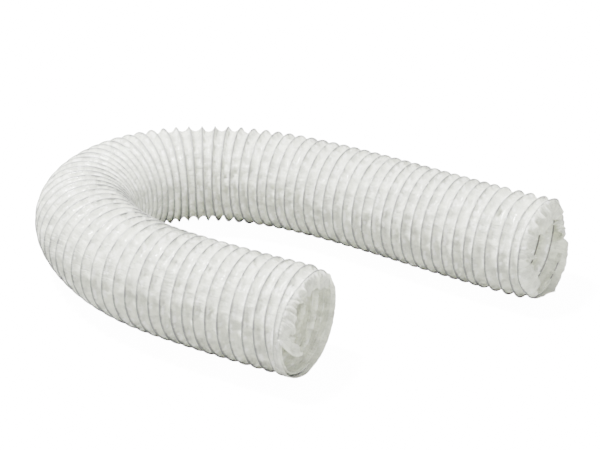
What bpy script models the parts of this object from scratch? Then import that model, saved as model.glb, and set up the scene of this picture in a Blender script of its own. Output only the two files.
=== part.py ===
"""Exhaust hose: a white vinyl tube on a sprung wire coil, lying in a U on the floor.

The sleeve is one turned corrugation, repeated along a straight axis by a Screw modifier,
given its wall by Solidify and then laid along the route. The wire coil follows the same
crests from inside. Metres, +Z up, the floor at z = 0, the origin under the middle of the
hose's box, the open ends towards +X.
"""
import math

import bmesh
import bpy
import numpy as np

# Section of the hose
HOSE_RADIUS = 0.050
SIDES = 16
FILM_SAG = 0.0042
FILM_WALL = 0.0009
TURNS = 75

# Wire
WIRE_RADIUS = 0.0006
WIRE_CLEARANCE = 0.00035

# Plain film past the last turn of wire at each mouth
FRONT_CUFF = 0.010
BACK_CUFF = 0.009
CUFF_FLARE = 0.0035

# Route of the axis from the front mouth to the back mouth: the laid length, the heading at the
# front mouth, and how sharply the axis turns at shares of that length, as the angle in radians
# that a whole length bent so would turn through (right turns negative)
LAID_LENGTH = 0.8537
FRONT_HEADING = math.radians(186.23)
BEND_SHARES = (0.0, 0.12, 0.20, 0.30, 0.37, 0.43, 0.52, 0.60, 0.72, 1.0)
BEND_TURNS = (-0.78, -0.36, -4.12, -3.53, -10.08, -9.15, -6.75, -4.58, -1.25, 1.43)
ROUTE_STEPS = 3000

# Materials: colour, roughness and metallic value
FILM_LOOK = ((0.80, 0.82, 0.79), 0.42, 0.0)
WIRE_LOOK = ((0.42, 0.43, 0.43), 0.38, 1.0)

PITCH = LAID_LENGTH / TURNS
CREST_START = math.pi / SIDES
CORNER_RADIUS = HOSE_RADIUS / math.cos(math.pi / SIDES)


def clear_scene():
    for found in list(bpy.data.objects):
        bpy.data.objects.remove(found, do_unlink=True)


def new_material(name, look):
    colour, roughness, metallic = look
    made = bpy.data.materials.new(name)
    made.use_nodes = True
    shader = made.node_tree.nodes["Principled BSDF"]
    shader.inputs["Base Color"].default_value = (*colour, 1.0)
    shader.inputs["Roughness"].default_value = roughness
    shader.inputs["Metallic"].default_value = metallic
    made.diffuse_color = (*colour, 1.0)
    return made


def route_table():
    """Stations, headings and positions of the axis, summed along the laid length."""
    stations = np.linspace(0.0, LAID_LENGTH, ROUTE_STEPS)
    rates = np.interp(stations / LAID_LENGTH, BEND_SHARES, BEND_TURNS) / LAID_LENGTH
    step = stations[1] - stations[0]
    turned = np.concatenate([[0.0], np.cumsum((rates[1:] + rates[:-1]) / 2 * step)])
    headings = FRONT_HEADING + turned
    middle = (headings[1:] + headings[:-1]) / 2
    x = np.concatenate([[0.0], np.cumsum(np.cos(middle) * step)])
    y = np.concatenate([[0.0], np.cumsum(np.sin(middle) * step)])
    return stations, headings, x, y


def lay_on_route(points, table):
    """Moves points (left, up, along) of the straight hose onto the route on the floor."""
    stations, headings, x, y = table
    along = points[:, 2]
    held = np.clip(along, 0.0, LAID_LENGTH)
    past = along - held
    heading = np.interp(held, stations, headings)
    laid = np.empty_like(points)
    laid[:, 0] = np.interp(held, stations, x) + past * np.cos(heading) - points[:, 0] * np.sin(heading)
    laid[:, 1] = np.interp(held, stations, y) + past * np.sin(heading) + points[:, 0] * np.cos(heading)
    laid[:, 2] = HOSE_RADIUS + points[:, 1]
    return laid


def corrugated_surface():
    """The straight sleeve's outer surface: one wave of film, screwed along +Z."""
    wave = bpy.data.meshes.new("film_wave")
    corners = [(CORNER_RADIUS, PITCH), (CORNER_RADIUS - FILM_SAG, PITCH / 2), (CORNER_RADIUS, 0.0)]
    across = math.cos(CREST_START), math.sin(CREST_START)
    wave.from_pydata([(r * across[0], r * across[1], h - 2 * PITCH) for r, h in corners], [(0, 1), (1, 2)], [])
    guide = bpy.data.objects.new("film_guide", wave)
    bpy.context.collection.objects.link(guide)
    screw = guide.modifiers.new("Turns", "SCREW")
    screw.axis = "Z"
    screw.angle = 2 * math.pi
    screw.steps = SIDES
    screw.render_steps = SIDES
    screw.screw_offset = PITCH
    screw.iterations = TURNS + 4
    screw.use_merge_vertices = False
    screw.use_smooth_shade = False
    bpy.context.view_layer.update()
    evaluated = guide.evaluated_get(bpy.context.evaluated_depsgraph_get())
    surface = bpy.data.meshes.new_from_object(evaluated)
    bpy.data.objects.remove(guide, do_unlink=True)
    return surface


def add_cuff(shape, rim, start, way, length):
    """Runs the cut rim out to a flared lip and then to a plain cuff of the crests' size."""
    for reach in (CUFF_FLARE, length):
        grown = bmesh.ops.extrude_edge_only(shape, edges=rim)["geom"]
        rim = [e for e in grown if isinstance(e, bmesh.types.BMEdge)]
        for corner in {v for e in rim for v in e.verts}:
            angle = math.atan2(corner.co.y, corner.co.x)
            half = math.pi / SIDES
            in_side = (angle - CREST_START) % (2 * half) - half
            radius = CORNER_RADIUS * math.cos(half) / math.cos(in_side)
            corner.co = (radius * math.cos(angle), radius * math.sin(angle), start + way * reach)


def make_sleeve(table):
    surface = corrugated_surface()
    shape = bmesh.new()
    shape.from_mesh(surface)
    bmesh.ops.remove_doubles(shape, verts=shape.verts, dist=0.0001)
    for height, normal in ((0.0, (0, 0, -1)), (LAID_LENGTH, (0, 0, 1))):
        every = shape.verts[:] + shape.edges[:] + shape.faces[:]
        cut = bmesh.ops.bisect_plane(shape, geom=every, dist=0.00005, plane_co=(0, 0, height), plane_no=normal,
                                     clear_outer=True)
        rim = [e for e in cut["geom_cut"] if isinstance(e, bmesh.types.BMEdge)]
        way = normal[2]
        add_cuff(shape, rim, height, way, FRONT_CUFF if way < 0 else BACK_CUFF)
    bmesh.ops.recalc_face_normals(shape, faces=shape.faces)
    shape.to_mesh(surface)
    shape.free()
    surface.name = "vinyl_sleeve"
    sleeve = bpy.data.objects.new("vinyl_sleeve", surface)
    bpy.context.collection.objects.link(sleeve)
    wall = sleeve.modifiers.new("Wall", "SOLIDIFY")
    wall.thickness = FILM_WALL
    wall.offset = -1.0
    wall.use_even_offset = True
    bpy.context.view_layer.update()
    evaluated = sleeve.evaluated_get(bpy.context.evaluated_depsgraph_get())
    walled = bpy.data.meshes.new_from_object(evaluated)
    sleeve.modifiers.remove(wall)
    shape = bmesh.new()
    shape.from_mesh(walled)
    bmesh.ops.triangulate(shape, faces=shape.faces, quad_method="SHORT_EDGE")
    straight = np.array([v.co[:] for v in shape.verts])
    laid = lay_on_route(straight, table)
    for corner, place in zip(shape.verts, laid):
        corner.co = place
    shape.to_mesh(walled)
    shape.free()
    sleeve.data = walled
    bpy.data.meshes.remove(surface)
    walled.name = "vinyl_sleeve"
    return sleeve


def wire_line(table):
    """The coil's centre line, under the crests and clear of the film where the hose bends most."""
    tightest = max(abs(turn) for turn in BEND_TURNS) / LAID_LENGTH
    half_wave = PITCH / 2 * (1 - tightest * HOSE_RADIUS)
    slope = half_wave / math.hypot(half_wave, FILM_SAG)
    straight_slope = PITCH / 2 / math.hypot(PITCH / 2, FILM_SAG)
    film_depth = FILM_WALL / straight_slope
    radius = CORNER_RADIUS - film_depth - (WIRE_RADIUS + WIRE_CLEARANCE) / slope
    count = TURNS * SIDES + 1
    angles = CREST_START + np.arange(count) * 2 * math.pi / SIDES
    along = np.arange(count) * PITCH / SIDES
    points = np.stack([radius * np.cos(angles), radius * np.sin(angles), along], 1)
    return lay_on_route(points, table)


def make_wire(table):
    line = wire_line(table)
    path = bpy.data.curves.new("wire_helix", "CURVE")
    path.dimensions = "3D"
    path.bevel_depth = WIRE_RADIUS
    path.bevel_resolution = 0
    path.use_fill_caps = True
    spline = path.splines.new("POLY")
    spline.points.add(len(line) - 1)
    for point, place in zip(spline.points, line):
        point.co = (*place, 1.0)
    wire = bpy.data.objects.new("wire_helix", path)
    bpy.context.collection.objects.link(wire)
    return wire


def main():
    clear_scene()
    hose = bpy.data.collections.new("exhaust_hose")
    bpy.context.scene.collection.children.link(hose)
    table = route_table()
    sleeve = make_sleeve(table)
    wire = make_wire(table)
    sleeve.data.materials.clear()
    sleeve.data.materials.append(new_material("vinyl_film", FILM_LOOK))
    wire.data.materials.append(new_material("spring_wire", WIRE_LOOK))
    corners = np.array([v.co[:] for v in sleeve.data.vertices])
    middle = (corners.min(0) + corners.max(0)) / 2
    stand = bpy.data.objects.new("hose_stand", None)
    stand.location = (-middle[0], -middle[1], 0.0)
    hose.objects.link(stand)
    for piece in (sleeve, wire):
        for holder in list(piece.users_collection):
            holder.objects.unlink(piece)
        hose.objects.link(piece)
        piece.parent = stand


main()
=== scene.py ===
"""Exhaust hose: white vinyl film on a sprung wire coil, lying in a U on a pale floor.

The film sleeve and the wire follow one axis laid on the floor. Geometry Nodes make both from
that axis, and the loose film at each mouth is folded in mesh code. Metres, +Z up.
"""
import math

import bmesh
import bpy
import numpy as np
from bpy.props import FloatProperty, FloatVectorProperty, IntProperty, PointerProperty
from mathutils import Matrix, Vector, noise


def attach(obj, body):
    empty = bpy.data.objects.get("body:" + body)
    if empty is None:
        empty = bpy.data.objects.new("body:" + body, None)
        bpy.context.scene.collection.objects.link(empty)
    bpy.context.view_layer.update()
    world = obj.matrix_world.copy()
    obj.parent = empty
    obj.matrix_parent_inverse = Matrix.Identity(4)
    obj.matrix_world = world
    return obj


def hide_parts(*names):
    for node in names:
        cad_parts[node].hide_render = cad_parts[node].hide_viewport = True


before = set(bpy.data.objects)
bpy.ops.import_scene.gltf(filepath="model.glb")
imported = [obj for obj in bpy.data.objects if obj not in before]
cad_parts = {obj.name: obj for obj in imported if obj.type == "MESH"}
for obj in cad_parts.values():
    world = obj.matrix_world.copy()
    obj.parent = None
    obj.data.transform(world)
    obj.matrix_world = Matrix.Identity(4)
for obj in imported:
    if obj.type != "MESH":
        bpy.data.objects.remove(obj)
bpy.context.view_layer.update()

bl_info = {
    "name": "Exhaust Hose",
    "version": (1, 0, 0),
    "blender": (4, 5, 0),
    "location": "View3D > Sidebar > Exhaust Hose",
    "description": "Builds a vinyl exhaust hose on a wire coil, laid in a U",
    "category": "Add Mesh",
}

# The laid axis, the same as the solids'
LAID_LENGTH = 0.8537
FRONT_HEADING = math.radians(186.23)
FRONT_X, FRONT_Y = 0.11635, -0.11544
BEND_SHARES = (0.0, 0.12, 0.20, 0.30, 0.37, 0.43, 0.52, 0.60, 0.72, 1.0)
BEND_TURNS = (-0.78, -0.36, -4.12, -3.53, -10.08, -9.15, -6.75, -4.58, -1.25, 1.43)
AXIS_HEIGHT = 0.050
ROUTE_STEPS = 3000

# How far the axis runs on straight past each mouth, and how far past them the even turns reach
RUN_ON = 0.03
OVERRUN = 0.0096

# Spacing of the axis curve's points
AXIS_SPACING = 0.002

# Where the wire's turns lie: share of the turns against share of the laid length
TURN_SHARES = (0.0, 0.0177, 0.2072, 0.3301, 0.5265, 0.6569, 0.8156, 1.0)
LENGTH_SHARES = (0.0, 0.0152, 0.199, 0.3315, 0.519, 0.6572, 0.820, 0.9922)

# The uneven turns at the mouths: turns from the end against millimetres of laid length from
# the mouth, the front mouth's first and then the back mouth's
FRONT_TURNS = (
    (0.0, -1.8), (0.14, -1.4), (0.28, -1.5), (0.37, -2.2), (0.43, -4.2), (0.51, -7.2), (0.60, -7.4),
    (0.72, -5.0), (0.85, -3.2), (1.0, 0.2), (1.14, 1.6), (1.29, 2.0), (1.41, 3.0), (1.52, 3.4), (1.70, 3.6),
    (2.0, 4.8), (2.17, 5.8), (2.30, 10.0), (2.42, 13.4), (2.55, 13.6), (2.80, 15.5), (3.19, 18.2),
    (3.29, 20.5), (3.42, 23.2), (3.53, 23.6), (4.28, 31.2), (4.47, 34.2), (5.36, 44.6))
BACK_TURNS = (
    (0.0, 10.0), (0.06, 8.8), (0.10, 7.6), (0.29, 6.0), (0.34, 2.7), (0.41, -0.8), (0.47, -1.9),
    (0.54, -1.4), (0.60, 0.6), (0.66, 3.0), (0.71, 5.6), (0.76, 6.8), (0.80, 6.0), (0.84, 2.0), (0.89, -1.8),
    (1.03, -3.0), (1.11, -5.4), (1.29, -6.4), (1.45, -9.4), (1.54, -9.9), (1.61, -8.0), (1.70, -5.2),
    (1.76, -4.4), (1.82, -6.2), (1.87, -11.0), (1.93, -15.7), (2.05, -17.2), (2.33, -18.3), (2.45, -20.4),
    (2.54, -21.8), (2.68, -19.4), (2.76, -18.4), (2.84, -20.8), (2.92, -26.0), (3.05, -29.5), (3.35, -31.2),
    (3.48, -33.3), (3.63, -32.4), (3.72, -30.6), (3.82, -31.8), (3.92, -36.5), (4.10, -41.5), (4.55, -45.4),
    (4.63, -44.6), (5.65, -56.0))

# Turns from the end over which they are uneven, and the greatest shift that the curves can hold
END_SPAN = 8.0
END_RANGE = 0.04

# Where the wire is pressed inwards at each mouth, as a turn from the end and a width in turns,
# and how deep
FRONT_PRESSED = (0.55, 0.2)
BACK_PRESSED = (0.2, 0.15)
PRESSED_DEPTH = 0.0025

# How the film hangs between two turns: how much of a shallow arc's depth it takes, the least
# spare film, the power that flattens the middle, and how closely the rows gather at the wire
ARC_SHARE = 0.30
LEAST_SPARE = 0.00012
SAG_POWER = 2.6
ROW_GATHER = 0.5
ROW_NUDGE = 0.00001

# Where past the bend the film hangs deepest: the middle turn, how many turns to either side,
# and by what share deeper
LOOSEST_TURN = 42.5
LOOSE_SPAN = 4.5
LOOSE_SHARE = 0.5

# Turns of wire that the inner strips of film cover. The wire is bare between these, inside the
# back mouth
COVERED_TURNS = ((0.0, 72.9), (73.46, 74.07), (74.32, 74.7), (74.95, 75.1), (75.12, 75.135), (75.17, 75.2))

# How far a strip lies inside the wire, how much further its edges stand in, and the distance to
# the wire that film reads where the wire's line is to stay hidden
STRIP_INSET = 0.0019
STRIP_BOWL = -0.0010
STRIP_HIDES = 0.004
HIDDEN_OFFSET = 0.003

# The turns of the sleeve's first half row along which the wire's line does show
SHOWN_FROM = (0.26, 0.30)
SHOWN_TO = (0.58, 0.66)

# Points of the film closer than this are one point
SEAM_GAP = 0.00001

# The share of a turn from the wire's end over which each mouth's line leaves its inmost place
FRONT_BLEND = 0.05
BACK_BLEND = 0.0001

# The solids' nodes that the sleeve and the coil stand for
FILM_NODE = "vinyl_sleeve"
WIRE_NODE = "wire_helix"

# Socket kinds of the node trees
FLOAT, WHOLE = "NodeSocketFloat", "NodeSocketInt"
COLOUR, GEOMETRY = "NodeSocketColor", "NodeSocketGeometry"


def route_table():
    """Stations, headings and positions of the hose's axis, summed along the laid length."""
    stations = np.linspace(0.0, LAID_LENGTH, ROUTE_STEPS)
    rates = np.interp(stations / LAID_LENGTH, BEND_SHARES, BEND_TURNS) / LAID_LENGTH
    step = stations[1] - stations[0]
    turned = np.concatenate([[0.0], np.cumsum((rates[1:] + rates[:-1]) / 2 * step)])
    headings = FRONT_HEADING + turned
    middle = (headings[1:] + headings[:-1]) / 2
    x = FRONT_X + np.concatenate([[0.0], np.cumsum(np.cos(middle) * step)])
    y = FRONT_Y + np.concatenate([[0.0], np.cumsum(np.sin(middle) * step)])
    return stations, headings, x, y


def axis_points(spacing, height=AXIS_HEIGHT):
    """Points along the axis, run on straight past both mouths."""
    stations, headings, x, y = route_table()
    count = int(round(LAID_LENGTH / spacing)) + 1
    at = np.linspace(0.0, LAID_LENGTH, count)
    points = np.stack([np.interp(at, stations, x), np.interp(at, stations, y), np.full(count, height)], 1)
    first = points[0] - RUN_ON * np.array([math.cos(headings[0]), math.sin(headings[0]), 0.0])
    last = points[-1] + RUN_ON * np.array([math.cos(headings[-1]), math.sin(headings[-1]), 0.0])
    return np.vstack([first, points, last])


class HoseSizes(bpy.types.PropertyGroup):
    """Sizes of the hose that a user would change."""
    radius: FloatProperty(
        name="Crest Radius", description="Radius over the wire crests", default=0.050, min=0.01,
        unit="LENGTH")
    turns: FloatProperty(
        name="Turns", description="Turns of wire from mouth to mouth", default=75.2, min=12.0)
    film_per_turn: FloatProperty(
        name="Film per Turn", description="Length of film between two turns", default=0.0194, min=0.001,
        unit="LENGTH")
    wire_radius: FloatProperty(
        name="Wire Radius", description="Radius of the spring wire", default=0.0006, min=0.0001,
        unit="LENGTH")
    film_wall: FloatProperty(
        name="Film Thickness", description="Thickness of the film", default=0.0003, min=0.00005,
        unit="LENGTH")
    wire_start: FloatProperty(
        name="Wire Start", description="Angle of the wire's end at the front mouth",
        default=math.radians(-100.0), subtype="ANGLE")
    uneven: FloatProperty(
        name="Uneven Ends", description="How uneven the turns are at the mouths", default=1.0, min=0.0,
        max=1.0, subtype="FACTOR")
    pleat: FloatProperty(
        name="Pleat Depth", description="Depth of the puckers in the sagging film", default=0.0009, min=0.0,
        unit="LENGTH")
    around: IntProperty(
        name="Faces Around", description="Faces of film around the hose", default=108, min=16)
    rows: IntProperty(
        name="Rows per Turn", description="Rows of faces between two turns", default=6, min=2)
    seed: IntProperty(
        name="Seed", description="Seed of the puckers", default=4)


class HoseLook(bpy.types.PropertyGroup):
    """Colours and finish of the film and the wire."""
    film: FloatVectorProperty(
        name="Film", description="Colour of the vinyl film", default=(0.868, 0.882, 0.800, 1.0),
        subtype="COLOR", size=4, min=0.0, max=1.0)
    # The film shade is painted shade, laid on random patches of the film
    shade: FloatVectorProperty(
        name="Film Shade", description="Colour of the greyer patches", default=(0.685, 0.697, 0.633, 1.0),
        subtype="COLOR", size=4, min=0.0, max=1.0)
    line: FloatVectorProperty(
        name="Wire Line", description="Colour of the wire seen through the film",
        default=(0.26, 0.27, 0.26, 1.0), subtype="COLOR", size=4, min=0.0, max=1.0)
    wire: FloatVectorProperty(
        name="Wire", description="Colour of the bare spring wire", default=(0.20, 0.20, 0.20, 1.0),
        subtype="COLOR", size=4, min=0.0, max=1.0)
    roughness: FloatProperty(
        name="Film Roughness", description="Roughness of the satin film", default=0.31, min=0.0, max=1.0,
        subtype="FACTOR")


class StageSetting(bpy.types.PropertyGroup):
    """The camera's place and lens."""
    distance: FloatProperty(
        name="Distance", description="Camera to its target", default=1.55, unit="LENGTH")
    azimuth: FloatProperty(
        name="Azimuth", description="Camera's turn about the hose", default=math.radians(33.0),
        subtype="ANGLE")
    elevation: FloatProperty(
        name="Elevation", description="Camera's height above the floor", default=math.radians(26.49),
        subtype="ANGLE")
    lens: FloatProperty(
        name="Lens", description="Focal length in millimetres", default=87.91)
    target: FloatVectorProperty(
        name="Target", description="What the camera looks at", default=(-0.0413, 0.1244, 0.0), subtype="XYZ",
        unit="LENGTH")


class NodeBench:
    """Adds nodes to one tree and links them, so that a tree reads as a list of steps."""

    def __init__(self, tree):
        self.tree = tree

    def feed(self, socket, value):
        if isinstance(value, bpy.types.NodeSocket):
            self.tree.links.new(value, socket)
        else:
            socket.default_value = value

    def add(self, kind, inputs=None, **settings):
        node = self.tree.nodes.new(kind)
        for name, value in settings.items():
            setattr(node, name, value)
        self.fill(node, inputs or {})
        return node

    def fill(self, node, inputs):
        for key, value in inputs.items():
            self.feed(node.inputs[key], value)

    def math(self, operation, first, second=None, third=None, clamp=False):
        node = self.add("ShaderNodeMath", operation=operation, use_clamp=clamp)
        for socket, value in zip(node.inputs, (first, second, third)):
            if value is not None:
                self.feed(socket, value)
        return node.outputs[0]

    def times(self, first, second):
        return self.math("MULTIPLY", first, second)

    def plus(self, first, second):
        return self.math("ADD", first, second)

    def minus(self, first, second):
        return self.math("SUBTRACT", first, second)

    def bell(self, value, middle, width):
        """One at the middle, falling off to both sides."""
        off_middle = self.math("DIVIDE", self.minus(value, middle), width)
        return self.math("EXPONENT", self.times(self.times(off_middle, off_middle), -1.0))

    def mixed(self, factor, first, second):
        """One colour passing over into another."""
        node = self.add("ShaderNodeMix", {"Factor": factor, 6: first, 7: second}, data_type="RGBA")
        return node.outputs[2]

    def group(self, tree, inputs):
        """The outputs of a node group that gets these inputs."""
        return self.add("GeometryNodeGroup", inputs, node_tree=tree).outputs

    def vector(self, operation, first, second=None, scale=None):
        node = self.add("ShaderNodeVectorMath", operation=operation)
        self.feed(node.inputs[0], first)
        if second is not None:
            self.feed(node.inputs[1], second)
        if scale is not None:
            self.feed(node.inputs["Scale"], scale)
        return node.outputs["Value" if operation == "DISTANCE" else "Vector"]

    def join(self, x=0.0, y=0.0, z=0.0):
        return self.add("ShaderNodeCombineXYZ", {"X": x, "Y": y, "Z": z}).outputs[0]

    def split(self, vector):
        return self.add("ShaderNodeSeparateXYZ", {0: vector}).outputs

    def noise(self, vector, scale, detail=2.0, roughness=0.5):
        node = self.add("ShaderNodeTexNoise", {"Vector": vector, "Scale": scale, "Detail": detail,
                                               "Roughness": roughness}, noise_dimensions="3D")
        return node.outputs[0]

    def ramp(self, value, low, high, out_low=0.0, out_high=1.0, smooth=True):
        node = self.add("ShaderNodeMapRange", interpolation_type="SMOOTHSTEP" if smooth else "LINEAR")
        for socket, given in zip(node.inputs, (value, low, high, out_low, out_high)):
            self.feed(socket, given)
        return node.outputs[0]


def new_tree(name, inputs, outputs, kind="GeometryNodeTree"):
    """A node tree with its interface, its bench and its input sockets by name."""
    tree = bpy.data.node_groups.new(name, kind)
    for title, socket, default in inputs:
        made = tree.interface.new_socket(title, in_out="INPUT", socket_type=socket)
        if default is not None:
            made.default_value = default
    for title, socket in outputs:
        tree.interface.new_socket(title, in_out="OUTPUT", socket_type=socket)
    bench = NodeBench(tree)
    start = tree.nodes.new("NodeGroupInput")
    end = tree.nodes.new("NodeGroupOutput")
    return tree, bench, start.outputs, end.inputs


def curve_through(bench, value, places):
    """A float curve node through these places. It has its first and last point already."""
    node = bench.add("ShaderNodeFloatCurve", {"Value": value})
    points = node.mapping.curves[0].points
    points[0].location = places[0]
    for x, y in places[1:-1]:
        points.new(x, y)
    points[-1].location = places[-1]
    node.mapping.update()
    return node


def turn_to_station_group(turns):
    """Where along the axis a turn of wire lies and how far it is pressed in, uneven at both ends."""
    tree, bench, given, put = new_tree(
        "Turn to Station", [("Turn", FLOAT, 0.0), ("Turns", FLOAT, 75.0), ("Uneven", FLOAT, 1.0)],
        [("Station", FLOAT), ("Pressed", FLOAT)])
    reach = LAID_LENGTH + 2 * OVERRUN
    share = bench.math("DIVIDE", given["Turn"], given["Turns"], clamp=True)
    spread = curve_through(bench, share, list(zip(TURN_SHARES, LENGTH_SHARES)))
    laid = bench.math("MULTIPLY_ADD", spread.outputs[0], reach, -OVERRUN)

    def uneven(turn, knots, from_back):
        """How far the turns of one end lie from the even spacing."""
        places = []
        for at, millimetres in knots:
            along = turns - at if from_back else at
            plain = spread.mapping.evaluate(spread.mapping.curves[0], along / turns) * reach - OVERRUN
            seen = millimetres / 1000 + (LAID_LENGTH if from_back else 0.0)
            places.append((at / END_SPAN, 0.5 + (seen - plain) / END_RANGE))
        bent = curve_through(bench, bench.math("DIVIDE", turn, END_SPAN, clamp=True), places + [(1.0, 0.5)])
        return bench.times(bench.minus(bent.outputs[0], 0.5), END_RANGE)

    to_back = bench.minus(given["Turns"], given["Turn"])
    ends = bench.plus(uneven(given["Turn"], FRONT_TURNS, False), uneven(to_back, BACK_TURNS, True))
    bench.feed(put["Station"], bench.math("MULTIPLY_ADD", ends, given["Uneven"], laid))
    both = bench.plus(bench.bell(given["Turn"], *FRONT_PRESSED), bench.bell(to_back, *BACK_PRESSED))
    bench.feed(put["Pressed"], bench.times(both, bench.times(given["Uneven"], PRESSED_DEPTH)))
    return tree


def on_route_group():
    """Lays a station, an angle and a radius onto the axis."""
    tree, bench, given, put = new_tree(
        "On the Route", [("Axis", GEOMETRY, None), ("Station", FLOAT, 0.0), ("Angle", FLOAT, 0.0),
                         ("Radius", FLOAT, 0.05)],
        [("Position", "NodeSocketVector")])
    length = bench.plus(given["Station"], RUN_ON)
    here = bench.add("GeometryNodeSampleCurve", {"Curves": given["Axis"], "Length": length}, mode="LENGTH")
    left = bench.vector("CROSS_PRODUCT", (0.0, 0.0, 1.0), here.outputs["Tangent"])
    sideways = bench.times(given["Radius"], bench.math("COSINE", given["Angle"]))
    aside = bench.vector("SCALE", left, scale=sideways)
    above = bench.join(z=bench.times(given["Radius"], bench.math("SINE", given["Angle"])))
    placed = bench.vector("ADD", bench.vector("ADD", here.outputs["Position"], aside), above)
    bench.feed(put["Position"], placed)
    return tree


SHARED_INPUTS = [
    ("Geometry", GEOMETRY, None), ("Axis", "NodeSocketObject", None), ("Turns", FLOAT, 75.0),
    ("Wire Start", FLOAT, 0.0), ("Uneven", FLOAT, 0.0), ("Material", "NodeSocketMaterial", None)]
SLEEVE_INPUTS = SHARED_INPUTS + [
    ("Radius", FLOAT, 0.05), ("Film per Turn", FLOAT, 0.018), ("Pleat", FLOAT, 0.001), ("Around", WHOLE, 96),
    ("Rows", WHOLE, 6), ("Seed", FLOAT, 0.0)]
WIRE_INPUTS = SHARED_INPUTS + [
    ("Coil Radius", FLOAT, 0.048), ("Wire Radius", FLOAT, 0.0006), ("Steps per Turn", WHOLE, 48),
    ("Sides", WHOLE, 8)]
COVER_INPUTS = SHARED_INPUTS + [
    ("Cover Radius", FLOAT, 0.0484), ("Half Width", FLOAT, 0.0025), ("First Turn", FLOAT, 0.0),
    ("Last Turn", FLOAT, 75.0), ("Steps per Turn", WHOLE, 40)]
MESH_OUTPUT = [("Geometry", GEOMETRY)]


class Placing:
    """Finds turns of wire along the axis and points around it, in one tree."""

    def __init__(self, bench, given, groups):
        self.bench = bench
        self.given = given
        self.station_group, self.route_group = groups
        self.axis = bench.add("GeometryNodeObjectInfo", {"Object": given["Axis"]}).outputs["Geometry"]

    def angle(self, turns):
        """The angle after so many turns from the wire's start."""
        return self.bench.math("MULTIPLY_ADD", turns, 2 * math.pi, self.given["Wire Start"])

    def wire(self, turn):
        """The station of a turn of wire, and how far it is pressed in there."""
        found = self.bench.group(self.station_group, {"Turn": turn, "Turns": self.given["Turns"],
                                                      "Uneven": self.given["Uneven"]})
        return found["Station"], found["Pressed"]

    def point(self, station, angle, radius):
        """The point at a station of the axis, an angle and a radius."""
        found = self.bench.group(self.route_group, {"Axis": self.axis, "Station": station, "Angle": angle,
                                                    "Radius": radius})
        return found["Position"]


def hand_over(bench, given, put, geometry):
    """Realizes the geometry, gives it its material and puts it out."""
    real = bench.add("GeometryNodeRealizeInstances", {0: geometry}).outputs[0]
    dressed = bench.add("GeometryNodeSetMaterial", {"Geometry": real, "Material": given["Material"]})
    bench.feed(put["Geometry"], dressed.outputs[0])


def lay_film(bench, given, put, sheet, away, gap, spread, place):
    """Stores what the film's look reads, then moves the flat sheet to its place on the hose."""
    mesh = sheet.outputs["Mesh"]
    kept = (("from_wire", "FLOAT", "POINT", away), ("turn_gap", "FLOAT", "POINT", gap),
            ("UVMap", "FLOAT2", "CORNER", spread))
    for name, kind, domain, value in kept:
        values = {"Geometry": mesh, "Name": name, "Value": value}
        stored = bench.add("GeometryNodeStoreNamedAttribute", values, data_type=kind, domain=domain)
        mesh = stored.outputs[0]
    moved = bench.add("GeometryNodeSetPosition", {"Geometry": mesh, "Position": place})
    hand_over(bench, given, put, moved.outputs[0])


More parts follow.
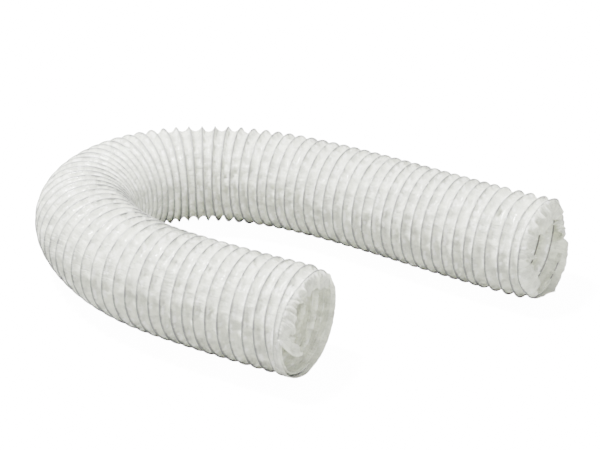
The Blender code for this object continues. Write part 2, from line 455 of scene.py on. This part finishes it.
def sleeve_tree(groups):
    """The film between the turns of wire: crests on the wire, sags and puckers between."""
    tree, bench, given, put = new_tree("Film Sleeve", SLEEVE_INPUTS, MESH_OUTPUT)
    placing = Placing(bench, given, groups)
    whole = bench.minus(bench.math("FLOOR", given["Turns"]), 1.0)
    rows = bench.plus(bench.times(whole, given["Rows"]), 1.0)
    columns = bench.plus(given["Around"], 1.0)
    sheet = bench.add("GeometryNodeMeshGrid", {"Size X": 1.0, "Size Y": 1.0, "Vertices X": rows,
                                               "Vertices Y": columns})
    flat = bench.split(bench.add("GeometryNodeInputPosition").outputs[0])
    even = bench.times(bench.plus(flat["X"], 0.5), whole)
    share = bench.plus(flat["Y"], 0.5)
    gather = bench.math("SINE", bench.times(even, 2 * math.pi))
    row = bench.math("MULTIPLY_ADD", gather, -ROW_GATHER / (2 * math.pi), even)
    turn = bench.plus(row, share)
    angle = placing.angle(share)
    cosine = bench.math("COSINE", angle)
    sine = bench.math("SINE", angle)
    within = bench.math("FRACT", bench.plus(row, ROW_NUDGE))
    to_next = bench.minus(1.0, within)

    def crest(at_turn):
        station, pressed = placing.wire(at_turn)
        return station, bench.minus(given["Radius"], pressed)

    def between(first, second):
        return bench.math("MULTIPLY_ADD", bench.minus(second, first), within, first)

    def around(scale, turn_scale, offset, detail=2.0):
        """Noise that runs on round the hose and changes from turn to turn."""
        place = bench.join(bench.times(cosine, scale), bench.times(sine, scale),
                           bench.math("MULTIPLY_ADD", turn, turn_scale, bench.plus(given["Seed"], offset)))
        return bench.noise(place, 1.0, detail)

    # The two turns of wire that a point hangs between, and how deep it may hang
    lower = bench.minus(turn, within)
    before, radius_before = crest(lower)
    after, radius_after = crest(bench.plus(lower, 1.0))
    gap = bench.vector("DISTANCE", placing.point(before, angle, radius_before),
                       placing.point(after, angle, radius_after))
    spare = bench.math("MAXIMUM", bench.minus(given["Film per Turn"], gap), LEAST_SPARE)
    slackest = bench.math("SQRT", bench.times(bench.times(gap, spare), ARC_SHARE))
    deepest = bench.math("MINIMUM", slackest, bench.times(gap, bench.ramp(gap, 0.003, 0.009, 0.18, 0.42)))
    loose = bench.bell(lower, LOOSEST_TURN, LOOSE_SPAN)
    depth = bench.times(deepest, bench.math("MULTIPLY_ADD", loose, LOOSE_SHARE, 1.0))

    # The sag, off its middle in wide turns, drawn up in places and puckered
    slack = bench.ramp(depth, 0.0008, 0.004)
    open_turn = bench.ramp(gap, 0.005, 0.010)
    lopsided = bench.times(bench.ramp(around(5.0, 0.55, 31.0, 1.0), 0.44, 0.56, -0.26, 0.26), open_turn)
    skewed = bench.math("MULTIPLY_ADD", bench.times(within, to_next), lopsided, within)
    off_middle = bench.math("ABSOLUTE", bench.math("MULTIPLY_ADD", skewed, 2.0, -1.0))
    arch = bench.minus(1.0, bench.math("POWER", off_middle, SAG_POWER))
    drawn = bench.ramp(around(6.0, 0.8, 0.0), 0.40, 0.60, -0.24, 0.14)
    eased = bench.math("MULTIPLY_ADD", drawn, open_turn, 1.0)
    sag = bench.times(bench.times(depth, arch), eased)
    fine = bench.times(bench.minus(around(13.0, 0.9, 11.0, 3.0), 0.5), 3.0)
    pucker = bench.times(fine, bench.times(given["Pleat"], bench.times(arch, slack)))
    radius = bench.plus(bench.minus(between(radius_before, radius_after), sag), pucker)
    place = placing.point(between(before, after), angle, radius)

    # The distance to the wire, made longer where its line stays hidden on the first half row
    off_wire = bench.times(bench.math("MINIMUM", within, to_next), gap)
    seen = bench.times(bench.ramp(lower, *SHOWN_FROM), bench.ramp(lower, *SHOWN_TO, 1.0, 0.0))
    tucked_in = bench.times(bench.math("LESS_THAN", row, 0.5), bench.minus(1.0, seen))
    off_wire = bench.math("MULTIPLY_ADD", tucked_in, HIDDEN_OFFSET, off_wire)
    lay_film(bench, given, put, sheet, off_wire, gap, bench.join(share, row), place)
    return tree


def wire_tree(groups):
    """One wire wound from mouth to mouth inside the crests."""
    tree, bench, given, put = new_tree("Sprung Wire Coil", WIRE_INPUTS, MESH_OUTPUT)
    placing = Placing(bench, given, groups)
    count = bench.plus(bench.times(given["Turns"], given["Steps per Turn"]), 1.0)
    line = bench.add("GeometryNodeCurvePrimitiveLine", {"Start": (0.0, 0.0, 0.0), "End": (1.0, 0.0, 0.0)})
    fine = bench.add("GeometryNodeResampleCurve", {"Curve": line.outputs[0], "Count": count})
    share = bench.split(bench.add("GeometryNodeInputPosition").outputs[0])["X"]
    turn = bench.times(share, given["Turns"])
    angle = placing.angle(turn)
    station, pressed = placing.wire(turn)
    place = placing.point(station, angle, bench.minus(given["Coil Radius"], pressed))
    wound = bench.add("GeometryNodeSetPosition", {"Geometry": fine.outputs[0], "Position": place})
    ring = bench.add("GeometryNodeCurvePrimitiveCircle", {"Resolution": given["Sides"],
                                                          "Radius": given["Wire Radius"]})
    drawn = bench.add("GeometryNodeCurveToMesh", {
        "Curve": wound.outputs[0], "Profile Curve": ring.outputs[0], "Fill Caps": True})
    hand_over(bench, given, put, drawn.outputs[0])
    return tree


def cover_tree(groups):
    """The strip of film welded over the wire inside the hose, from one turn to another."""
    tree, bench, given, put = new_tree("Inner Film Strip", COVER_INPUTS, MESH_OUTPUT)
    placing = Placing(bench, given, groups)
    span = bench.minus(given["Last Turn"], given["First Turn"])
    count = bench.plus(bench.math("CEIL", bench.times(span, given["Steps per Turn"])), 1.0)
    strip = bench.add("GeometryNodeMeshGrid", {"Size X": 1.0, "Size Y": 2.0, "Vertices X": count,
                                               "Vertices Y": 4})
    flat = bench.split(bench.add("GeometryNodeInputPosition").outputs[0])
    turn = bench.math("MULTIPLY_ADD", bench.plus(flat["X"], 0.5), span, given["First Turn"])
    angle = placing.angle(turn)
    here, pressed = placing.wire(turn)
    before = placing.wire(bench.minus(turn, 0.5))[0]
    after = placing.wire(bench.plus(turn, 0.5))[0]
    gap = bench.vector("DISTANCE", placing.point(before, angle, given["Cover Radius"]),
                       placing.point(after, angle, given["Cover Radius"]))
    across = bench.times(flat["Y"], given["Half Width"])
    bowl = bench.times(bench.times(flat["Y"], flat["Y"]), STRIP_BOWL)
    radius = bench.minus(bench.plus(given["Cover Radius"], bowl), pressed)
    place = placing.point(bench.plus(here, across), angle, radius)
    spread = bench.join(bench.math("FRACT", turn), bench.math("MULTIPLY_ADD", flat["Y"], 0.1, turn))
    lay_film(bench, given, put, strip, STRIP_HIDES, gap, spread, place)
    return tree


def bake(target, modifier):
    """Puts what the modifier makes into the object's own mesh and takes the modifier off."""
    bpy.context.view_layer.update()
    evaluated = target.evaluated_get(bpy.context.evaluated_depsgraph_get())
    made = bpy.data.meshes.new_from_object(evaluated)
    target.modifiers.remove(modifier)
    old = target.data
    target.data = made
    bpy.data.meshes.remove(old)
    made.name = target.name
    return made


def built_by_nodes(name, tree, values):
    """A plain mesh object made by a Geometry Nodes tree with the named inputs set."""
    holder = bpy.data.objects.new(name, bpy.data.meshes.new(name))
    bpy.context.scene.collection.objects.link(holder)
    step = holder.modifiers.new("Make", "NODES")
    step.node_group = tree
    sockets = {item.name: item.identifier for item in tree.interface.items_tree
               if item.item_type == "SOCKET" and item.in_out == "INPUT"}
    for title, value in values.items():
        step[sockets[title]] = value
    plain = bake(holder, step)
    plain.materials.clear()
    plain.materials.append(values["Material"])
    plain.polygons.foreach_set("material_index", [0] * len(plain.polygons))
    return holder


def solid_film(target, thickness):
    """Closes a surface into smooth film of this thickness, half of it to either side."""
    shape = bmesh.new()
    shape.from_mesh(target.data)
    bmesh.ops.remove_doubles(shape, verts=shape.verts, dist=SEAM_GAP)
    bmesh.ops.recalc_face_normals(shape, faces=shape.faces)
    shape.to_mesh(target.data)
    shape.free()
    wall = target.modifiers.new("Film", "SOLIDIFY")
    wall.thickness = thickness
    wall.offset = 0.0
    wall.use_rim = True
    walled = bake(target, wall)
    walled.polygons.foreach_set("use_smooth", [True] * len(walled.polygons))


def smooth_step(value):
    """Zero below zero, one above one, and eased between."""
    value = np.clip(value, 0.0, 1.0)
    return value * value * (3 - 2 * value)


class Mouth:
    """One end of the hose: its axis, and the line of the last turn of wire around it."""

    def __init__(self, rim, station, outward_sign, wire_start, blend):
        stations, headings, x, y = route_table()
        heading = float(np.interp(station, stations, headings))
        travel = np.array([math.cos(heading), math.sin(heading), 0.0])
        self.left = np.array([-math.sin(heading), math.cos(heading), 0.0])
        self.up = np.array([0.0, 0.0, 1.0])
        self.outward = travel * outward_sign
        self.centre = np.array([np.interp(station, stations, x), np.interp(station, stations, y),
                                AXIS_HEIGHT])
        self.start = wire_start
        offset = rim - self.centre
        self.share = np.linspace(0.0, 1.0, len(rim))
        self.out = offset @ self.outward
        self.radius = np.hypot(offset @ self.left, offset @ self.up)
        from_step = self.share if outward_sign < 0 else 1 - self.share
        inner = min(self.out[0], self.out[-1])
        self.out = inner + (self.out - inner) * smooth_step(from_step / blend)

    def line(self, angles):
        """Outward coordinate and radius of the last turn at these angles."""
        share = ((angles - self.start) / (2 * math.pi)) % 1.0
        return np.interp(share, self.share, self.out), np.interp(share, self.share, self.radius)

    def place(self, out, radius, angles):
        """Points from the outward coordinate, the radius and the angle."""
        across = self.left * np.cos(angles)[..., None] + self.up * np.sin(angles)[..., None]
        return self.centre + self.outward * out[..., None] + across * radius[..., None]


def ripple(angles, along, angle_scale, along_scale, seed):
    """Noise over a flap, even where the angle comes round."""
    values = np.empty(angles.shape)
    for place in np.ndindex(angles.shape):
        angle = angles[place]
        high = along[place] * along_scale + seed * SEED_STEP
        spot = Vector((math.cos(angle) * angle_scale, math.sin(angle) * angle_scale, high))
        values[place] = noise.noise(spot)
    return values


def flap(mouth, plan, columns, rows, seed, wire_shows):
    """Points, faces, distances to the wire and shares of a turn of one flap of loose film.

    The flap starts on the last turn of wire. Angles and directions are in degrees: 0 goes straight
    out of the mouth, 90 towards the axis and 180 back into the bore.
    """
    plan = np.array(plan, dtype=float)
    angles = np.radians(np.linspace(plan[0, 0], plan[-1, 0], columns))
    degrees = np.degrees(angles)
    length, first, last, bend, rough, skew = (np.interp(degrees, plan[:, 0], row) for row in plan.T[1:])
    still = np.zeros(columns)
    ragged = ripple(angles, still, 9.0, 0.0, seed) + 0.35 * ripple(angles, still, 22.0, 0.0, seed + 1)
    length = np.maximum(length * (1.0 + RAGGED_SHARE * ragged * rough), SHORTEST_FLAP)
    share = np.linspace(0.0, 1.0, rows)
    along = length[:, None] * share[None, :]
    wide = np.repeat(angles[:, None], rows, 1)
    turned = smooth_step(along / bend[:, None])
    direction = np.radians(first[:, None] + (last - first)[:, None] * turned)
    step = np.diff(along, axis=1)
    middle = (direction[:, 1:] + direction[:, :-1]) / 2
    zero = np.zeros((columns, 1))
    out = np.concatenate([zero, np.cumsum(np.cos(middle) * step, 1)], 1)
    inset = np.concatenate([zero, np.cumsum(np.sin(middle) * step, 1)], 1)
    free = np.clip(along / FOLDS_FROM, 0.0, 1.0) * rough[:, None]
    near = np.clip(along / WRINKLES_FROM, 0.0, 1.0) * rough[:, None]
    folds = ripple(wide, along, 11.0, 40.0, seed + 2) + 0.5 * ripple(wide, along, 23.0, 70.0, seed + 3)
    crumple = ripple(wide, along, 3.2, 90.0, seed + 4)
    wrinkles = ripple(wide, along, 26.0, 14.0, seed + 6) + 0.6 * ripple(wide, along, 52.0, 24.0, seed + 7)
    push = FOLD_DEPTH * free * folds + FOLD_DEPTH * free * crumple + WRINKLE_DEPTH * near * wrinkles
    sway = SWAY * free * ripple(wide, along, 4.0, 110.0, seed + 5)
    aside = sway + np.radians(skew)[:, None] * share[None, :] ** 1.5
    base_out, base_radius = mouth.line(angles)
    out = base_out[:, None] - FLAP_LAPS + out - np.sin(direction) * push
    radius = base_radius[:, None] - FLAP_UNDER - inset + np.cos(direction) * push
    spots = mouth.place(out, radius, wide + aside)
    spots[..., 2] = np.maximum(spots[..., 2], FLOOR_CLEARANCE)
    faces = [(k * rows + j, (k + 1) * rows + j, (k + 1) * rows + j + 1, k * rows + j + 1)
             for k in range(columns - 1) for j in range(rows - 1)]
    shares = np.repeat(((angles - mouth.start) / (2 * math.pi))[:, None], rows, 1)
    away = AWAY_SHARE * along.reshape(-1) + (0.0 if wire_shows else HIDDEN_OFFSET)
    return spots.reshape(-1, 3), faces, away, shares.reshape(-1)


def mouth_film(name, mouth, flaps, sizes, material):
    """The flaps of one mouth as one object of real thickness, with the same attributes as the sleeve."""
    points, faces, away, shares = [], [], [], []
    for plan, columns, rows, extra, wire_shows in flaps:
        spots, quads, distances, turns = flap(mouth, plan, columns, rows, sizes.seed + extra, wire_shows)
        points.extend(map(tuple, spots))
        faces.extend(tuple(corner + len(away) for corner in quad) for quad in quads)
        away.extend(distances)
        shares.extend(turns)
    pitch = LAID_LENGTH / sizes.turns
    data = bpy.data.meshes.new(name)
    data.from_pydata(points, [], faces)
    for title, values in (("from_wire", away), ("turn_gap", [pitch] * len(away))):
        data.attributes.new(title, "FLOAT", "POINT").data.foreach_set("value", values)
    spread = data.uv_layers.new(name="UVMap")
    for loop, put in zip(data.loops, spread.data):
        put.uv = (shares[loop.vertex_index], away[loop.vertex_index] / pitch)
    data.materials.append(material)
    made = bpy.data.objects.new(name, data)
    bpy.context.scene.collection.objects.link(made)
    solid_film(made, sizes.film_wall)
    return made


# How the loose film crumples: depth of its folds and its fine wrinkles, how far from the wire
# each is in full, how far it sways round in radians, and how ragged its edge is
FOLD_DEPTH = 0.0034
WRINKLE_DEPTH = 0.0024
FOLDS_FROM = 0.009
WRINKLES_FROM = 0.006
SWAY = 0.020
RAGGED_SHARE = 0.22
SHORTEST_FLAP = 0.0004
SEED_STEP = 7.3

# How far a flap laps over the sleeve and lies under it, how high it stays off the floor, and how
# fast its distance to the wire grows
FLAP_LAPS = 0.0004
FLAP_UNDER = 0.00015
FLOOR_CLEARANCE = 0.0004
AWAY_SHARE = 0.6

# The plans of the flaps: rows of angle, length, direction at the wire and at the edge, turning
# distance, roughness, and how far the edge is drawn round
FRONT_TUCK = [
    (6, 0.0270, 12, 88, 0.014, 0.4, -60),
    (16, 0.026, 14, 90, 0.013, 0.8, -41),
    (32, 0.021, 20, 96, 0.012, 1.3, -15),
    (55, 0.019, 22, 100, 0.012, 1.4, 0),
    (80, 0.018, 30, 105, 0.010, 1.2, 0),
    (110, 0.019, 40, 105, 0.010, 1.3, 0),
    (135, 0.017, 40, 105, 0.010, 1.2, 0),
    (150, 0.012, 40, 105, 0.008, 0.8, 0),
]
FRONT_OUT = [
    (140, 0.0030, 0, 20, 0.010, 0.3, 0),
    (155, 0.0036, 0, 20, 0.010, 0.4, 0),
    (162, 0.0052, 0, 15, 0.010, 0.4, 0),
    (180, 0.0055, 0, 15, 0.010, 0.5, 0),
    (206, 0.0065, 0, 15, 0.012, 0.4, 0),
    (225, 0.0075, 0, 15, 0.012, 0.3, 0),
    (238, 0.0085, 0, 15, 0.015, 0.2, 0),
    (258, 0.0080, 0, 15, 0.015, 0.1, 0),
    (278, 0.0058, 2, 15, 0.012, 0.1, 0),
    (292, 0.0045, 2, 15, 0.012, 0.1, 0),
    (306, 0.0045, 2, 15, 0.012, 0.1, 0),
    (320, 0.0038, 2, 15, 0.012, 0.1, 0),
    (345, 0.0032, 2, 15, 0.010, 0.1, 0),
    (369, 0.0026, 2, 15, 0.010, 0.1, 0),
]
BACK_TUCK = [
    (84, 0.018, 35, 95, 0.010, 1.0, -8),
    (92, 0.030, 30, 95, 0.010, 1.0, -8),
    (106, 0.033, 25, 92, 0.012, 1.0, -4),
    (122, 0.026, 20, 92, 0.013, 1.1, 0),
    (140, 0.026, 20, 90, 0.014, 1.1, 0),
    (175, 0.026, 20, 90, 0.014, 1.0, 0),
    (205, 0.024, 25, 90, 0.014, 1.0, 4),
    (225, 0.019, 45, 95, 0.013, 0.9, 4),
    (240, 0.012, 65, 100, 0.012, 0.7, 0),
    (254, 0.004, 75, 100, 0.010, 0.5, 0),
]
BACK_LOWER = [
    (-134, 0.0010, 20, 40, 0.008, 0.2, 0),
    (-122, 0.0018, 10, 30, 0.010, 0.3, 0),
    (-108, 0.0030, 5, 25, 0.010, 0.4, 0),
    (-101, 0.0055, 5, 25, 0.010, 0.4, 0),
]
BACK_OUT = [
    (-99, 0.0165, 4, 16, 0.020, 0.2, 0),
    (-89, 0.0205, 4, 14, 0.020, 0.2, 0),
    (-81, 0.0250, 2, 10, 0.020, 0.2, 0),
    (-75, 0.0225, 0, 5, 0.020, 0.2, 0),
    (-42, 0.0208, 0, 5, 0.020, 0.2, 0),
    (-22, 0.0188, 0, 5, 0.020, 0.3, 0),
    (-14, 0.0168, 0, 5, 0.020, 0.5, 0),
    (-10, 0.0120, 0, 5, 0.020, 0.4, 0),
    (5, 0.0100, 0, 5, 0.020, 0.3, 0),
    (14, 0.0060, 0, 5, 0.020, 0.3, 0),
]
BACK_FOLD = [
    (-18, 0.0280, 0, 148, 0.037, 0.5, 26),
    (2, 0.0300, 0, 150, 0.036, 0.8, 16),
    (20, 0.0270, 5, 150, 0.030, 1.2, 6),
    (32, 0.0230, 20, 140, 0.022, 1.3, 0),
    (46, 0.0190, 50, 120, 0.014, 1.3, 0),
    (60, 0.0180, 70, 110, 0.012, 1.3, 0),
    (75, 0.0160, 70, 110, 0.012, 1.1, 0),
    (94, 0.0080, 60, 100, 0.010, 0.8, 0),
]

# Each mouth's flaps: the plan, points round it and along it, what is added to the hose's seed,
# and whether the wire's line shows where the flap starts
FRONT_FLAPS = ((FRONT_TUCK, 150, 14, 0, True), (FRONT_OUT, 180, 12, 20, False))
BACK_FLAPS = ((BACK_TUCK, 170, 18, 40, True), (BACK_LOWER, 30, 8, 50, True), (BACK_OUT, 80, 14, 60, False),
              (BACK_FOLD, 110, 20, 70, False))

# Looks: the colour of small glints beside the wire, the share of light that passes through the
# film, and the film's relief and glossy skin
GLINT = (0.99, 0.99, 0.97, 1.0)
THROUGH_SHARE = 0.60
RELIEF_STRENGTH = 0.5
RELIEF_DEPTH = 0.0012
SKIN_WEIGHT = 0.5
SKIN_ROUGHNESS = 0.14
FILM_IOR = 1.46

# Studio: name, place, size and power of each lamp, the world's strength, the floor and its glow
LAMPS = (("key", (-0.7, -0.2, 2.1), 0.3, 440.0), ("fill", (2.3, -0.5, 0.8), 1.0, 55.0))
WORLD_STRENGTH = 1.95
FLOOR_HALF = 30.0
FLOOR_GREY = 0.33
FLOOR_GLOW = 14.0
WHITE = (1.0, 1.0, 1.0, 1.0)


def film_look_group():
    """Colour, roughness and height of the vinyl film from its place and its distance to the wire."""
    tree, bench, given, put = new_tree(
        "Vinyl Film Look", [("Film", COLOUR, None), ("Shade", COLOUR, None), ("Line", COLOUR, None),
                            ("Roughness", FLOAT, None)],
        [("Color", COLOUR), ("Roughness", FLOAT), ("Height", FLOAT)], "ShaderNodeTree")
    place = bench.add("ShaderNodeTexCoord").outputs["Object"]
    spread = bench.split(bench.add("ShaderNodeUVMap", uv_map="UVMap").outputs[0])
    away = bench.add("ShaderNodeAttribute", attribute_name="from_wire").outputs["Fac"]
    gap = bench.add("ShaderNodeAttribute", attribute_name="turn_gap").outputs["Fac"]

    # Painted shade in random greyer patches for the film's dents, soft in space and creased along the turns
    angle = bench.times(spread["X"], 2 * math.pi)
    around = bench.join(bench.times(bench.math("COSINE", angle), 14.0),
                        bench.times(bench.math("SINE", angle), 14.0), bench.times(spread["Y"], 0.9))
    soft = bench.noise(place, 110.0, 4.0, 0.6)
    creased = bench.noise(around, 1.0, 3.0, 0.6)
    dent_shade_patch = bench.plus(bench.ramp(soft, 0.46, 0.56, 0.0, 0.65), bench.ramp(creased, 0.42, 0.62, 0.0, 0.35))
    dent_shaded = bench.mixed(dent_shade_patch, given["Film"], given["Shade"])

    # The wire's line, fainter on top of the hose and between close turns, and painted glints beside it
    # The fading on top is painted top light; low down the line stays dark as painted shade
    high = bench.ramp(bench.split(place)["Z"], 0.02, 0.096, 1.0, 0.62)
    showing = bench.times(high, bench.ramp(gap, 0.003, 0.010, 0.12, 1.0))
    on_wire = bench.ramp(away, 0.0004, 0.0013, 0.92, 0.0)
    lined = bench.mixed(bench.times(showing, on_wire), dent_shaded, given["Line"])
    beside = bench.times(bench.ramp(away, 0.0008, 0.0016), bench.ramp(away, 0.0022, 0.0048, 1.0, 0.0))
    spotted = bench.times(beside, bench.ramp(bench.noise(place, 150.0, 2.0), 0.52, 0.60))
    bench.feed(put["Color"], bench.mixed(spotted, lined, GLINT))

    sheen = bench.ramp(bench.noise(place, 90.0, 2.0), 0.35, 0.65, -0.14, 0.10, smooth=False)
    bench.feed(put["Roughness"], bench.plus(given["Roughness"], sheen))
    ridge = bench.math("ABSOLUTE", bench.minus(creased, 0.5))
    fine = bench.noise(place, 300.0, 3.0, 0.6)
    bench.feed(put["Height"], bench.plus(bench.times(ridge, -3.4), bench.times(fine, 0.9)))
    return tree


def new_material(name):
    """A material with nodes, its bench and its main shader."""
    made = bpy.data.materials.new(name)
    made.use_nodes = True
    return made, NodeBench(made.node_tree), made.node_tree.nodes["Principled BSDF"]


def film_material(look):
    """Satin film that lets part of the light through."""
    made, bench, shader = new_material("hose_film")
    group = bench.add("ShaderNodeGroup", node_tree=film_look_group())
    bench.fill(group, {"Film": look.film, "Shade": look.shade, "Line": look.line, "Roughness": look.roughness})
    colour = group.outputs["Color"]
    relief = bench.add("ShaderNodeBump", {
        "Height": group.outputs["Height"], "Strength": RELIEF_STRENGTH, "Distance": RELIEF_DEPTH}).outputs[0]
    bench.fill(shader, {"Base Color": colour, "Roughness": group.outputs["Roughness"], "Normal": relief,
                        "IOR": FILM_IOR, "Coat Weight": SKIN_WEIGHT, "Coat Roughness": SKIN_ROUGHNESS})
    through = bench.add("ShaderNodeBsdfTranslucent", {"Color": colour, "Normal": relief})
    both = bench.add("ShaderNodeMixShader", {0: THROUGH_SHARE, 1: shader.outputs[0], 2: through.outputs[0]})
    bench.feed(made.node_tree.nodes["Material Output"].inputs["Surface"], both.outputs[0])
    return made


def wire_material(look):
    """Dull spring steel."""
    made, bench, shader = new_material("hose_wire")
    place = bench.add("ShaderNodeTexCoord").outputs["Object"]
    dull = bench.ramp(bench.noise(place, 300.0), 0.3, 0.7, 0.35, 0.5)
    bench.fill(shader, {"Base Color": look.wire, "Metallic": 0.6, "Roughness": dull})
    return made


def floor_material():
    """A floor that shows as clean white and bounces only part of the light."""
    made, bench, shader = new_material("floor_paint")
    seen = bench.add("ShaderNodeLightPath").outputs["Is Camera Ray"]
    bench.fill(shader, {"Base Color": (FLOOR_GREY, FLOOR_GREY, FLOOR_GREY, 1.0), "Roughness": 0.9,
                        "Specular IOR Level": 0.1, "Emission Color": WHITE,
                        "Emission Strength": bench.times(seen, FLOOR_GLOW)})
    return made


def axis_object():
    """A curve along the axis for the node trees to sample."""
    line = axis_points(AXIS_SPACING)
    path = bpy.data.curves.new("hose_axis", "CURVE")
    path.dimensions = "3D"
    spline = path.splines.new("POLY")
    spline.points.add(len(line) - 1)
    for point, place in zip(spline.points, line):
        point.co = (*place, 1.0)
    made = bpy.data.objects.new("hose_axis", path)
    bpy.context.scene.collection.objects.link(made)
    return made


class Shared:
    """What the pieces of the hose share: materials, placing groups, the axis and tree inputs."""

    def __init__(self, scene):
        self.sizes = scene.hose_sizes
        materials, groups = bpy.data.materials, bpy.data.node_groups
        self.film = materials.get("hose_film") or film_material(scene.hose_look)
        self.wire = materials.get("hose_wire") or wire_material(scene.hose_look)
        self.groups = (groups.get("Turn to Station") or turn_to_station_group(self.sizes.turns),
                       groups.get("On the Route") or on_route_group())
        self.axis = axis_object()
        self.inputs = {"Axis": self.axis, "Turns": self.sizes.turns, "Wire Start": self.sizes.wire_start,
                       "Uneven": self.sizes.uneven}

    def put_axis_away(self):
        path = self.axis.data
        bpy.data.objects.remove(self.axis, do_unlink=True)
        bpy.data.curves.remove(path)


class HOSE_OT_sleeve(bpy.types.Operator):
    """Make the film sleeve between the first and last turns of wire, and the loose film at both mouths"""
    bl_idname = "hose.sleeve"
    bl_label = "Film Sleeve"

    def execute(self, context):
        shared = Shared(context.scene)
        sizes = shared.sizes
        sleeve = built_by_nodes("film_sleeve", sleeve_tree(shared.groups), {
            **shared.inputs, "Radius": sizes.radius, "Film per Turn": sizes.film_per_turn,
            "Pleat": sizes.pleat, "Around": sizes.around, "Rows": sizes.rows, "Seed": float(sizes.seed),
            "Material": shared.film})
        shared.put_axis_away()
        places = np.array([v.co[:] for v in sleeve.data.vertices]).reshape(-1, sizes.around + 1, 3)
        front = Mouth(places[0], 0.0, -1.0, sizes.wire_start, FRONT_BLEND)
        back = Mouth(places[-1], LAID_LENGTH, 1.0, sizes.wire_start, BACK_BLEND)
        solid_film(sleeve, sizes.film_wall)
        front_film = mouth_film("front_mouth_film", front, FRONT_FLAPS, sizes, shared.film)
        back_film = mouth_film("back_mouth_film", back, BACK_FLAPS, sizes, shared.film)
        for piece in (sleeve, front_film, back_film):
            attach(piece, "root")
        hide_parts(FILM_NODE)
        return {"FINISHED"}


class HOSE_OT_wire(bpy.types.Operator):
    """Make the spring wire that runs from mouth to mouth inside the crests of the film"""
    bl_idname = "hose.wire"
    bl_label = "Spring Wire"

    def execute(self, context):
        shared = Shared(context.scene)
        sizes = shared.sizes
        coil = built_by_nodes("wire_coil", wire_tree(shared.groups), {
            **shared.inputs, "Coil Radius": sizes.radius - sizes.film_wall / 2 - sizes.wire_radius,
            "Wire Radius": sizes.wire_radius, "Material": shared.wire})
        shared.put_axis_away()
        coil.data.polygons.foreach_set("use_smooth", [True] * len(coil.data.polygons))
        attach(coil, "root")
        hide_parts(WIRE_NODE)
        return {"FINISHED"}


class HOSE_OT_cover(bpy.types.Operator):
    """Make the strips of film that cover the wire inside the hose"""
    bl_idname = "hose.cover"
    bl_label = "Inner Film Strips"

    def execute(self, context):
        shared = Shared(context.scene)
        sizes = shared.sizes
        tree = cover_tree(shared.groups)
        inside = sizes.radius - sizes.film_wall / 2 - 2 * sizes.wire_radius - STRIP_INSET
        for number, (first, last) in enumerate(COVERED_TURNS, 1):
            strip = built_by_nodes(f"inner_film_{number}", tree, {
                **shared.inputs, "Cover Radius": inside, "First Turn": first, "Last Turn": last,
                "Material": shared.film})
            solid_film(strip, sizes.film_wall)
            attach(strip, "root")
        shared.put_axis_away()
        return {"FINISHED"}


class HOSE_OT_declare(bpy.types.Operator):
    """Does nothing: the hose's real length and diameter along its laid axis are not stated"""
    bl_idname = "hose.declare"
    bl_label = "Hose Facts"

    def execute(self, context):
        return {"FINISHED"}


class HOSE_OT_stage(bpy.types.Operator):
    """Set the floor, the soft studio light and the camera"""
    bl_idname = "hose.stage"
    bl_label = "Stage"

    def execute(self, context):
        scene = context.scene
        setting = scene.hose_stage
        shape = bpy.data.meshes.new("floor")
        corners = [(FLOOR_HALF * x, FLOOR_HALF * y, 0) for x, y in ((-1, -1), (1, -1), (1, 1), (-1, 1))]
        shape.from_pydata(corners, [], [(0, 1, 2, 3)])
        floor = bpy.data.objects.new("floor", shape)
        scene.collection.objects.link(floor)
        shape.materials.append(floor_material())
        world = bpy.data.worlds.new("studio")
        world.use_nodes = True
        sky = NodeBench(world.node_tree)
        sky.fill(world.node_tree.nodes["Background"], {"Color": WHITE, "Strength": WORLD_STRENGTH})
        scene.world = world
        target = Vector(setting.target)
        for name, place, size, power in LAMPS:
            lamp = bpy.data.lights.new(name, "AREA")
            lamp.shape = "SQUARE"
            lamp.size = size
            lamp.energy = power
            holder = bpy.data.objects.new(name, lamp)
            holder.location = place
            holder.rotation_euler = (target - Vector(place)).to_track_quat("-Z", "Y").to_euler()
            scene.collection.objects.link(holder)
        camera = bpy.data.cameras.new("camera")
        camera.lens = setting.lens
        camera.sensor_width = 36.0
        eye = bpy.data.objects.new("camera", camera)
        turn, rise = setting.azimuth, setting.elevation
        back = Vector((math.sin(turn) * math.cos(rise), -math.cos(turn) * math.cos(rise), math.sin(rise)))
        eye.location = target + back * setting.distance
        eye.rotation_euler = (-back).to_track_quat("-Z", "Y").to_euler()
        scene.collection.objects.link(eye)
        scene.camera = eye
        return {"FINISHED"}


class HOSE_PT_panel(bpy.types.Panel):
    """Sizes, looks and steps of the exhaust hose"""
    bl_label = "Exhaust Hose"
    bl_idname = "HOSE_PT_panel"
    bl_space_type = "VIEW_3D"
    bl_region_type = "UI"
    bl_category = "Exhaust Hose"

    def draw(self, context):
        scene = context.scene
        for group in (scene.hose_sizes, scene.hose_look, scene.hose_stage):
            box = self.layout.box()
            for name in group.__annotations__:
                box.prop(group, name)
        for step in STEPS:
            self.layout.operator(step.bl_idname)


STEPS = (HOSE_OT_sleeve, HOSE_OT_wire, HOSE_OT_cover, HOSE_OT_declare, HOSE_OT_stage)
CLASSES = (HoseSizes, HoseLook, StageSetting, *STEPS, HOSE_PT_panel)


def register():
    for item in CLASSES:
        bpy.utils.register_class(item)
    bpy.types.Scene.hose_sizes = PointerProperty(type=HoseSizes)
    bpy.types.Scene.hose_look = PointerProperty(type=HoseLook)
    bpy.types.Scene.hose_stage = PointerProperty(type=StageSetting)


def unregister():
    del bpy.types.Scene.hose_stage
    del bpy.types.Scene.hose_look
    del bpy.types.Scene.hose_sizes
    for item in reversed(CLASSES):
        bpy.utils.unregister_class(item)


def main():
    register()
    bpy.ops.hose.sleeve()
    bpy.ops.hose.wire()
    bpy.ops.hose.cover()
    bpy.ops.hose.declare()
    bpy.ops.hose.stage()


if __name__ == "__main__":
    main()
